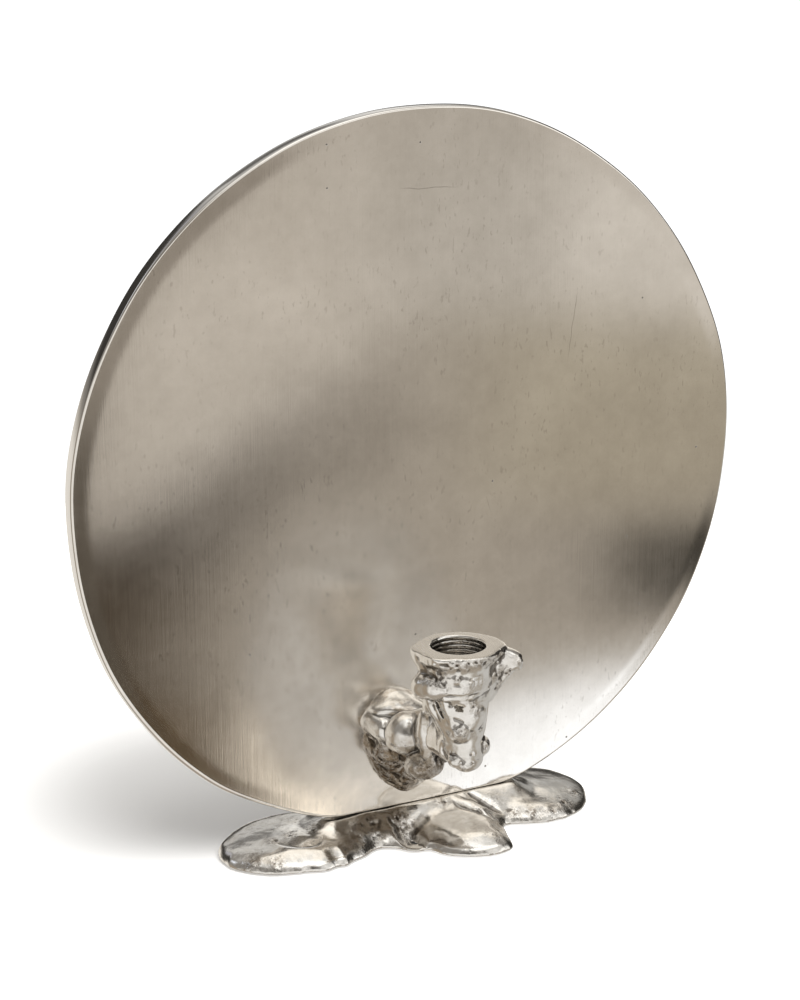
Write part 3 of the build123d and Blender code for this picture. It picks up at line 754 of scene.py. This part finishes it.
    # the polish is duller close to the arm, where the wheel couldn't reach
    dx = m.math("MULTIPLY", m.math("SUBTRACT", pos.outputs["X"], -0.036), 1 / 0.052)
    dz = m.math("MULTIPLY", m.math("SUBTRACT", pos.outputs["Z"], 0.092), 1 / 0.070)
    dull = m.math("MULTIPLY_ADD", dx, dx, m.math("MULTIPLY", dz, dz))
    dull = m.span(m.math("ADD", dull, m.math("MULTIPLY_ADD", blot, 0.5, -0.25)), 0.10, 1.35, 1.0, 0.0)
    dull = m.math("MULTIPLY", dull, front)
    rough = m.math("MULTIPLY_ADD", dull, 0.18, rough)
    rough = m.math("MULTIPLY_ADD", rim, m.math("SUBTRACT", 0.10, rough), rough)
    m.link(rough, m.bsdf.inputs["Roughness"])
    tan = m.new("ShaderNodeTangent", direction_type="UV_MAP", uv_map="flat")
    m.link(tan.outputs[0], m.bsdf.inputs["Tangent"])
    m.bsdf.inputs["Anisotropic"].default_value = 0.5
    n = m.bump(streak, 0.03, 0.00020)
    n = m.bump(m.math("SUBTRACT", 1.0, dot), 0.6, 0.0003, n)
    m.link(n, m.bsdf.inputs["Normal"])
    return m.mat


def polished_nickel(name, base, wear, clean, stain, top_satin=False):
    m = Nodes(name)
    m.bsdf.inputs["Metallic"].default_value = 1.0
    skin = m.noise(m.scaled((160, 160, 160)), 1.0, 4.0, 0.55, 0.3)
    grain = m.noise(m.scaled((1150, 1150, 1150)), 1.0, 3.0, 0.6)
    patch = m.noise(m.scaled((70, 70, 70)), 1.0, 2.0, 0.5)
    mark = m.new("ShaderNodeAttribute", attribute_name="grain", attribute_type="GEOMETRY").outputs["Fac"]
    gritty = m.math("MAXIMUM", m.math("MULTIPLY", m.span(patch, 0.55, 0.72, 0.0, 1.0), 0.35), mark)
    col = m.ramp(skin, [(0.25, (0.75, 0.715, 0.66)), (0.6, (0.87, 0.845, 0.805)), (0.8, (0.90, 0.88, 0.85))])
    vor = m.new("ShaderNodeTexVoronoi", feature="F1")
    m.link(m.scaled((520, 520, 520)), vor.inputs["Vector"])
    vor.inputs["Scale"].default_value = 1.0
    keep = m.new("ShaderNodeSeparateColor")
    m.link(vor.outputs["Color"], keep.inputs[0])
    pit = m.math("MULTIPLY", m.span(vor.outputs["Distance"], 0.12, 0.36, 1.0, 0.0),
                 m.math("GREATER_THAN", keep.outputs[0], 0.62))
    pit = m.math("MULTIPLY", pit, m.math("MULTIPLY_ADD", gritty, 0.94, 0.06))
    col = m.mix(m.math("MULTIPLY", pit, 0.92), col, (0.06, 0.047, 0.034))
    chunk = m.noise(m.scaled((430, 430, 430)), 1.0, 2.0, 0.5)
    spot = m.math("MULTIPLY_ADD", chunk, 0.55, m.math("MULTIPLY", grain, 0.45))
    # dark grit in the gritty places; where the clean value is raised, as on the arm, it is also painted shade
    col = m.mix(m.math("MULTIPLY", gritty, m.span(spot, 0.43, 0.57, wear, clean)), col, (0.15, 0.108, 0.068))
    cloud = m.noise(m.scaled((105, 105, 105), loc=(3.1, 1.7, 0.4)), 1.0, 3.0, 0.55, 0.4)
    col = m.mix(m.math("MULTIPLY", m.span(cloud, 0.46, 0.66, 0.0, 1.0), stain), col, (0.33, 0.265, 0.19))
    hollow = m.new("ShaderNodeAttribute", attribute_name="hollow", attribute_type="GEOMETRY").outputs["Fac"]
    # dark patina in the hollows, made deep enough that it is also painted shade in the creases
    patina_and_crease_shade = m.math("MULTIPLY", m.span(hollow, 0.565, 0.76, 0.0, 1.0), m.math("MULTIPLY_ADD", gritty, 0.32, 0.62))
    col = m.mix(patina_and_crease_shade, col, (0.060, 0.045, 0.031))
    rough = m.math("MULTIPLY_ADD", gritty, 0.07, m.math("MULTIPLY_ADD", skin, 0.10, base))
    height = m.math("MULTIPLY_ADD", grain, m.math("MULTIPLY_ADD", gritty, 1.1, 0.06), m.math("MULTIPLY", skin, 0.8))
    height = m.math("SUBTRACT", height, m.math("MULTIPLY", pit, 0.8))
    normal = m.bump(height, 0.40, 0.0005)
    if top_satin:
        pos = m.new("ShaderNodeSeparateXYZ")
        m.link(m.co, pos.inputs[0])
        geo = m.new("ShaderNodeNewGeometry")
        nz = m.new("ShaderNodeSeparateXYZ")
        m.link(geo.outputs["Normal"], nz.inputs[0])
        flat = m.math("MULTIPLY", m.span(pos.outputs["Z"], 0.1046, 0.1049, 0.0, 1.0),
                      m.span(nz.outputs["Z"], 0.80, 0.97, 0.0, 1.0))
        turned = m.noise(m.scaled((1500, 180, 1500), (0, 0, 0.5)), 1.0, 2.0, 0.5)
        rough = m.math("MULTIPLY_ADD", flat, m.math("SUBTRACT", m.math("MULTIPLY_ADD", turned, 0.10, 0.22), rough), rough)
        height = m.math("MULTIPLY", height, m.math("SUBTRACT", 1.0, m.math("MULTIPLY", flat, 0.9)))
        normal = m.bump(height, 0.40, 0.0005)
        normal = m.bump(m.math("MULTIPLY", turned, flat), 0.10, 0.0002, normal)
        col = m.mix(m.math("MULTIPLY", flat, 0.85), col, (0.60, 0.565, 0.515))
    m.link(col, m.bsdf.inputs["Base Color"])
    m.link(rough, m.bsdf.inputs["Roughness"])
    m.link(normal, m.bsdf.inputs["Normal"])
    return m.mat


def steel():
    m = Nodes("zinc_steel")
    m.bsdf.inputs["Metallic"].default_value = 1.0
    a = m.noise(m.scaled((700, 700, 700)), 1.0, 3.0, 0.6)
    m.link(m.ramp(a, [(0.3, (0.42, 0.42, 0.43)), (0.7, (0.62, 0.62, 0.63))]), m.bsdf.inputs["Base Color"])
    m.link(m.math("MULTIPLY_ADD", a, 0.25, 0.18), m.bsdf.inputs["Roughness"])
    m.link(m.bump(a, 0.15, 0.0002), m.bsdf.inputs["Normal"])
    return m.mat


def felt():
    m = Nodes("felt")
    m.bsdf.inputs["Roughness"].default_value = 0.95
    m.bsdf.inputs["Sheen Weight"].default_value = 0.35
    a = m.noise(m.scaled((1500, 1500, 1500)), 1.0, 4.0, 0.65, 1.2)
    c = m.noise(m.scaled((260, 260, 260)), 1.0, 3.0, 0.6)
    t = m.math("MULTIPLY_ADD", a, 0.65, m.math("MULTIPLY", c, 0.35))
    m.link(m.ramp(t, [(0.3, (0.022, 0.021, 0.021)), (0.7, (0.085, 0.082, 0.080))]), m.bsdf.inputs["Base Color"])
    m.link(m.bump(t, 0.6, 0.0006), m.bsdf.inputs["Normal"])
    return m.mat


def paint(ob, mat):
    ob.data.materials.clear()
    ob.data.materials.append(mat)


# ------------------------------------------------------------------ pieces
plate = build_plate()
foot = build_foot()
cup = build_cup()
arm = build_arm()
m_plate = satin_nickel()
m_cast = polished_nickel("polished_nickel", 0.12, 0.75, 0.0, 0.12)
# the arm's dark grit is set strong: partly cast grit, partly painted shade on the low skin of the rosette and under the
# knuckles
m_arm = polished_nickel("polished_nickel_arm", 0.16, 1.0, 0.60, 0.60)
m_cup = polished_nickel("polished_nickel_cup", 0.11, 0.62, 0.02, 0.04, True)
m_steel = steel()
m_felt = felt()
for ob, node, mat, slot in (
    (plate, "reflector_plate", m_plate, "satin_nickel"),
    (foot, "foot_casting", m_cast, "polished_nickel"),
    (cup, "candle_cup", m_cup, "polished_nickel"),
    (arm, "candle_arm", m_arm, "polished_nickel"),
):
    paint(ob, mat)
    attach(ob, "root")
    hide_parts(node)
for node, mat in (("cup_stud", m_steel), ("arm_screw", m_steel), ("arm_dowel", m_steel),
                  ("foot_screws", m_steel), ("felt_base", m_felt)):
    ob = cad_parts[node]
    if not ob.material_slots:
        ob.data.materials.append(mat)
    for s in ob.material_slots:
        s.material = mat

# ------------------------------------------------------------------- stage
VIEW = np.array((-0.456, -0.890))      # from the object towards the camera, in plan
SIDE = np.array((0.890, -0.456))       # to the camera's right, in plan


def floor_piece(name, near, far, left, right, material):
    pts = []
    for along, side in ((near, left), (near, right), (far, right), (far, left)):
        q = np.array((0.0, FACE_Y * MM)) + VIEW * along + SIDE * side
        pts.append((q[0], q[1], 0.0))
    me = bpy.data.meshes.new(name)
    me.from_pydata(pts, [], [(0, 1, 2, 3)])
    me.update()
    if me.polygons[0].normal.z < 0:
        me.flip_normals()
    ob = bpy.data.objects.new(name, me)
    bpy.context.scene.collection.objects.link(ob)
    ob.data.materials.append(material)
    return ob


def floor_material():
    m = Nodes("floor")
    m.bsdf.inputs["Base Color"].default_value = (0.90, 0.90, 0.90, 1.0)
    m.bsdf.inputs["Roughness"].default_value = 0.9
    m.bsdf.inputs["Specular IOR Level"].default_value = 0.0
    m.bsdf.inputs["Emission Color"].default_value = (1.0, 1.0, 1.0, 1.0)
    # painted light: the floor glows, faintly within about 4 cm of a point behind and left of the plate and up to 0.6
    # beyond 15 cm, which fills in the plate's shadow everywhere but there
    far = m.new("ShaderNodeVectorMath", operation="DISTANCE")
    m.link(m.co, far.inputs[0])
    far.inputs[1].default_value = (-0.070, 0.095, 0.0)
    m.link(m.span(far.outputs["Value"], 0.04, 0.15, 0.02, 0.60), m.bsdf.inputs["Emission Strength"])
    return m.mat


def backdrop_material():
    m = Nodes("backdrop")
    m.bsdf.inputs["Base Color"].default_value = (0.0, 0.0, 0.0, 1.0)
    m.bsdf.inputs["Specular IOR Level"].default_value = 0.0
    m.bsdf.inputs["Emission Color"].default_value = (1.0, 1.0, 1.0, 1.0)
    m.bsdf.inputs["Emission Strength"].default_value = 1.2
    return m.mat


m_floor = floor_material()
m_back = backdrop_material()
floor_piece("floor", 0.55, -0.50, -0.50, 0.50, m_floor).visible_glossy = False
far_back = floor_piece("floor_far", 12.0, -12.0, -12.0, 12.0, m_back)
far_back.location.z = -0.0005
for ob in (far_back,):
    ob.visible_glossy = False
    ob.visible_diffuse = False
    ob.visible_shadow = False


def area(name, loc, target, size, power, colour=(1, 1, 1), glossy=True):
    li = bpy.data.lights.new(name, "AREA")
    li.shape = "RECTANGLE"
    li.size, li.size_y = size
    li.energy = power
    li.color = colour
    ob = bpy.data.objects.new(name, li)
    bpy.context.scene.collection.objects.link(ob)
    ob.location = loc
    d = Vector(target) - Vector(loc)
    ob.rotation_euler = d.to_track_quat("-Z", "Y").to_euler()
    ob.visible_glossy = glossy
    return ob


area("key", (0.170, -0.635, 1.348), (0.0, 0.0, 0.0), (1.73, 1.09), 26.0, (1.0, 0.985, 0.96), False)


class Sky(Nodes):
    """The room around the table, painted by direction: azimuth from -Y towards +X, and height."""

    def __init__(self):
        world = bpy.data.worlds.new("studio")
        bpy.context.scene.world = world
        world.use_nodes = True
        self.t = world.node_tree
        self.t.nodes.clear()
        self.out = self.t.nodes.new("ShaderNodeOutputWorld")
        self.bg = self.t.nodes.new("ShaderNodeBackground")
        self.link(self.bg.outputs[0], self.out.inputs[0])
        co = self.t.nodes.new("ShaderNodeTexCoord")
        sep = self.t.nodes.new("ShaderNodeSeparateXYZ")
        self.link(co.outputs["Generated"], sep.inputs[0])
        x, y, z = (sep.outputs[k] for k in ("X", "Y", "Z"))
        self.az = self.math("MULTIPLY", self.math("ARCTAN2", x, self.math("MULTIPLY", y, -1.0)), 57.29578)
        self.el = self.math("MULTIPLY", self.math("ARCSINE", z), 57.29578)

    def window(self, value, a, b, soft):
        lo = self.span(value, a - soft, a + soft, 0.0, 1.0)
        hi = self.span(value, b - soft, b + soft, 1.0, 0.0)
        return self.math("MULTIPLY", lo, hi)

    def patch(self, col, new, az, el, soft, strength=1.0):
        f = self.math("MULTIPLY", self.window(self.az, az[0], az[1], soft[0]),
                      self.window(self.el, el[0], el[1], soft[1]))
        if strength != 1.0:
            f = self.math("MULTIPLY", f, strength)
        return self.mix(f, col, new)


w = Sky()
az, el = w.az, w.el


def both(a, b):
    return w.math("MULTIPLY", a, b)


up = w.span(el, -3.0, 3.0, 0.0, 1.0)
col = w.mix(up, (0.42, 0.385, 0.335), (0.27, 0.255, 0.235))
col = w.mix(w.span(el, -68.0, -58.0, 1.0, 0.0), col, (0.40, 0.355, 0.30))
# ceiling with a broad soft box overhead, a low one in front on the right, a window on the left
col = w.mix(w.span(el, 48.0, 66.0, 0.0, 1.0), col, (0.70, 0.69, 0.67))
col = w.mix(w.span(el, 72.0, 84.0, 0.0, 1.0), col, (1.25, 1.24, 1.21))
col = w.patch(col, (1.50, 1.49, 1.46), (-35.0, 66.0), (46.0, 89.0), (12.0, 6.0))
col = w.patch(col, (0.95, 0.94, 0.92), (6.0, 60.0), (2.5, 24.0), (10.0, 4.0))
col = w.patch(col, (1.25, 1.24, 1.22), (26.8, 60.0), (2.5, 24.0), (1.5, 4.0))
col = w.patch(col, (0.72, 0.71, 0.69), (-6.0, 62.0), (22.0, 48.0), (8.0, 5.0))
col = w.patch(col, (0.98, 0.97, 0.95), (4.0, 26.0), (24.0, 36.0), (6.0, 4.0))
col = w.patch(col, (1.50, 1.50, 1.48), (8.0, 58.0), (2.5, 11.0), (8.0, 3.0))
col = w.patch(col, (1.15, 1.22, 1.35), (-124.0, -103.0), (28.0, 46.0), (7.0, 6.0))
# dark brown low on the left
col = w.patch(col, (0.38, 0.32, 0.25), (-116.0, -90.0), (-58.0, 12.0), (8.0, 8.0))
# pale cards: around the camera, and a dimmer one low on the right under a dark strip
col = w.patch(col, (0.92, 0.91, 0.89), (-74.0, 22.0), (-58.0, 18.0), (12.0, 7.0))
col = w.patch(col, (0.58, 0.57, 0.55), (52.0, 138.0), (-60.0, -15.0), (6.0, 4.0))
col = w.patch(col, (0.04, 0.037, 0.033), (64.0, 138.0), (-10.0, 38.0), (5.0, 4.0))
col = w.patch(col, (0.07, 0.064, 0.057), (-40.0, -18.0), (21.0, 36.0), (4.0, 4.0))
# behind the table: pale low down, then a dark strip, then a wall
col = w.patch(col, (0.95, 0.91, 0.85), (144.0, 190.0), (-66.0, -14.0), (5.0, 4.0))
col = w.patch(col, (0.95, 0.91, 0.85), (-190.0, -136.0), (-66.0, -3.0), (6.0, 4.0))
col = w.patch(col, (0.05, 0.047, 0.043), (100.0, 190.0), (-9.0, 8.0), (8.0, 3.0))
col = w.patch(col, (0.05, 0.047, 0.043), (-190.0, -128.0), (5.0, 26.0), (5.0, 3.0))
col = w.patch(col, (0.42, 0.415, 0.40), (116.0, 190.0), (11.0, 46.0), (8.0, 4.0))
col = w.patch(col, (0.68, 0.67, 0.65), (151.0, 190.0), (11.0, 46.0), (4.0, 4.0))
col = w.patch(col, (0.66, 0.65, 0.63), (-190.0, -172.0), (24.0, 46.0), (4.0, 3.0))
col = w.patch(col, (0.14, 0.136, 0.13), (161.0, 190.0), (19.0, 30.0), (3.0, 2.5))
col = w.patch(col, (1.00, 0.99, 0.96), (147.0, 157.0), (13.0, 29.0), (4.0, 4.0))
col = w.patch(col, (1.10, 1.05, 0.97), (136.0, 151.0), (31.0, 52.0), (5.0, 4.0))
col = w.patch(col, (0.55, 0.55, 0.60), (-170.0, -150.0), (27.0, 35.0), (4.0, 2.0))
# in front, to the right: the dim room that the plate mirrors, paler above
high = w.mix(w.span(az, 25.3, 28.0, 0.0, 1.0), (0.60, 0.56, 0.508), (0.468, 0.44, 0.40))
high = w.mix(w.span(az, 29.6, 32.4, 0.0, 1.0), high, (0.696, 0.664, 0.62))
high = w.mix(w.math("MULTIPLY", w.span(el, -9.0, -6.4, 0.0, 1.0), 0.5), high, (0.48, 0.444, 0.40))
low = w.mix(both(w.span(az, 27.5, 30.5, 0.0, 1.0), w.span(el, -17.5, -15.5, 0.0, 1.0)), (0.408, 0.372, 0.324), (0.408, 0.368, 0.296))
rise = w.math("MINIMUM", w.math("MULTIPLY_ADD", az, 0.95, -37.9), -11.7)
dim = w.mix(w.span(w.math("SUBTRACT", el, rise), -1.1, 1.1, 0.0, 1.0), low, high)
# a slanting dark band, strongest on the left
mid = w.math("SUBTRACT", az, 24.4)
mid = w.math("MULTIPLY_ADD", mid, 0.5, w.math("MULTIPLY_ADD", w.math("MINIMUM", mid, 0.0), 0.20, -15.6))
band = both(w.window(w.math("SUBTRACT", el, mid), -1.1, 1.6, 1.0), w.span(az, 19.0, 30.0, 1.0, 0.0))
dim = w.mix(band, dim, (0.048, 0.040, 0.034))
# brown low on the left, something dark low on the right
dim = w.mix(both(w.span(az, 18.6, 24.2, 1.0, 0.0), w.span(el, -19.2, -17.6, 1.0, 0.0)), dim, (0.060, 0.043, 0.027))
dim = w.mix(both(w.span(az, 31.0, 35.0, 0.0, 0.96), w.window(el, -19.5, -16.9, 0.8)), dim, (0.024, 0.022, 0.019))
dim = w.mix(both(w.span(az, 20.8, 23.2, 1.0, 0.0), w.span(el, -22.6, -21.0, 1.0, 0.0)), dim, (0.095, 0.064, 0.033))
# white low on the right, a cream patch low on the left
edge = w.math("SUBTRACT", el, w.math("MULTIPLY_ADD", az, 0.22, -28.25))
dim = w.mix(both(w.span(edge, -1.6, 0.9, 1.0, 0.0), both(w.span(az, 26.9, 27.7, 0.0, 1.0), w.span(az, 34.8, 36.4, 1.0, 0.0))), dim, (1.28, 1.33, 1.40))
dim = w.mix(both(w.window(az, 23.6, 25.1, 0.35), w.window(el, -30.0, -22.3, 0.8)), dim, (2.00, 1.84, 1.60))
dim = w.mix(both(w.window(az, 25.5, 26.8, 0.35), w.span(el, -23.0, -21.6, 1.0, 0.0)), dim, (0.30, 0.26, 0.21))
# darker again beyond the plate's left edge
far = w.math("MAXIMUM", w.math("ADD", el, 16.0), 0.0)
far = w.math("MINIMUM", w.math("MULTIPLY_ADD", both(far, far), 0.08, 18.45), 23.9)
rim = w.mix(w.span(el, -15.5, -12.5, 0.0, 1.0), (0.10, 0.085, 0.068), (0.28, 0.25, 0.215))
dim = w.mix(w.span(w.math("SUBTRACT", az, far), -0.5, 0.5, 1.0, 0.0), dim, rim)
room = both(w.window(az, 11.0, 46.0, 3.0), w.window(el, -31.0, -1.5, 2.5))
col = w.mix(room, col, dim)
w.link(col, w.bg.inputs["Color"])
w.bg.inputs["Strength"].default_value = 1.0

bpy.context.scene.view_settings.view_transform = "Standard"
bpy.context.scene.view_settings.look = "None"

# ------------------------------------------------------------------ camera
cam = bpy.data.cameras.new("camera")
cam.sensor_width = 36.0
cam.lens = 2206.0 / 1000.0 * 36.0
cam_ob = bpy.data.objects.new("camera", cam)
bpy.context.scene.collection.objects.link(cam_ob)
cam_ob.location = (-0.4170, -0.7934 + FACE_Y * MM, 0.2570 + CENTRE_Z * MM)
aim = Vector((-0.0110, FACE_Y * MM, CENTRE_Z * MM - 0.0087))
cam_ob.rotation_euler = (aim - cam_ob.location).to_track_quat("-Z", "Y").to_euler()
bpy.context.scene.camera = cam_ob
